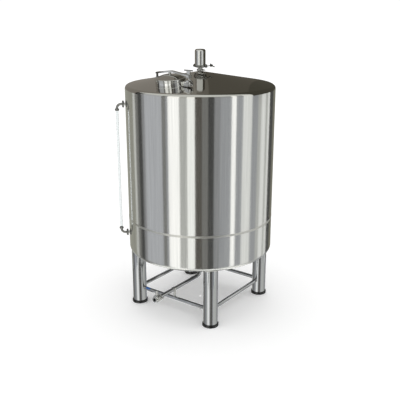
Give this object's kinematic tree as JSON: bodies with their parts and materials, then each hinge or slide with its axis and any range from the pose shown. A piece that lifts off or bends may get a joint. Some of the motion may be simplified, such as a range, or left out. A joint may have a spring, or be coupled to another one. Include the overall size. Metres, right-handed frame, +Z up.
{
  "type": "glycol tank",
  "caption": "Upright insulated stainless tank on four tubular legs, with a hinged top manway, a vent valve, a side level gauge and a bottom outlet with a lever valve.",
  "frame": {"origin": "on the floor, below the tank's axis", "axes": "+Z up along the tank's axis, -Y towards the outlet and the manway, +X to the right when facing the outlet"},
  "size_m": [1.42, 1.447, 2.526],
  "materials": {
    "shell_steel": "vertically brushed stainless sheet",
    "roof_steel": "near-mirror stainless sheet",
    "leg_steel": "satin stainless tube",
    "foot_black": "glossy black",
    "fitting_steel": "polished stainless fittings",
    "grip_blue": "moulded sleeve",
    "sight_clear": "clear tube"
  },
  "bodies": {
    "tank": {"shell_lower_front": "shell_steel", "shell_lower_back": "shell_steel", "shell_upper_front": "shell_steel", "shell_upper_back": "shell_steel", "bottom_head_front": "shell_steel", "bottom_head_back": "shell_steel", "roof_front": "roof_steel", "roof_back": "roof_steel", "leg_front_left": "leg_steel", "leg_front_right": "leg_steel", "leg_back_right": "leg_steel", "leg_back_left": "leg_steel", "brace_front": "leg_steel", "brace_right": "leg_steel", "brace_back": "leg_steel", "brace_left": "leg_steel", "foot_front_left": "foot_black", "foot_front_right": "foot_black", "foot_back_right": "foot_black", "foot_back_left": "foot_black", "outlet_elbow": "fitting_steel", "outlet_pipe": "fitting_steel", "pipe_clip": "fitting_steel", "outlet_clamp": "fitting_steel", "valve_body": "fitting_steel", "manway_neck": "fitting_steel", "manway_hinge_bracket": "fitting_steel", "manway_bolt_bracket": "fitting_steel", "gauge_upper_nozzle": "fitting_steel", "gauge_lower_nozzle": "fitting_steel", "gauge_upper_clamp": "fitting_steel", "gauge_lower_clamp": "fitting_steel", "gauge_upper_elbow": "fitting_steel", "gauge_lower_elbow": "fitting_steel", "vent_nozzle": "fitting_steel", "vent_small_clamp": "fitting_steel", "vent_base": "fitting_steel", "vent_big_clamp": "fitting_steel", "vent_can": "fitting_steel", "gauge_sight_tube": "sight_clear"},
    "valve_lever_set": {"valve_stem": "fitting_steel", "valve_lever": "fitting_steel", "valve_grip": "grip_blue"},
    "manway_lid_set": {"manway_lid": "fitting_steel", "manway_bridge_bar": "fitting_steel"},
    "swing_bolt_set": {"swing_bolt": "fitting_steel", "swing_bolt_handle": "fitting_steel"}
  },
  "joints": [
    {"name": "valve_lever_turn", "type": "hinge", "parent": "tank", "child": "valve_lever_set", "pos_m": [0, -0.697, 0.2496], "axis": [0, 0, -1], "range_deg": [0, 90]},
    {"name": "manway_lid_hinge", "type": "hinge", "parent": "tank", "child": "manway_lid_set", "pos_m": [-0.1485, -0.45323, 2.29657], "axis": [0, -0.9962, -0.0872], "range_deg": [0, 110]},
    {"name": "swing_bolt_pivot", "type": "hinge", "parent": "tank", "child": "swing_bolt_set", "pos_m": [0.21, -0.45192, 2.28163], "axis": [0, 0.9962, 0.0872], "range_deg": [0, 90]}
  ]
}
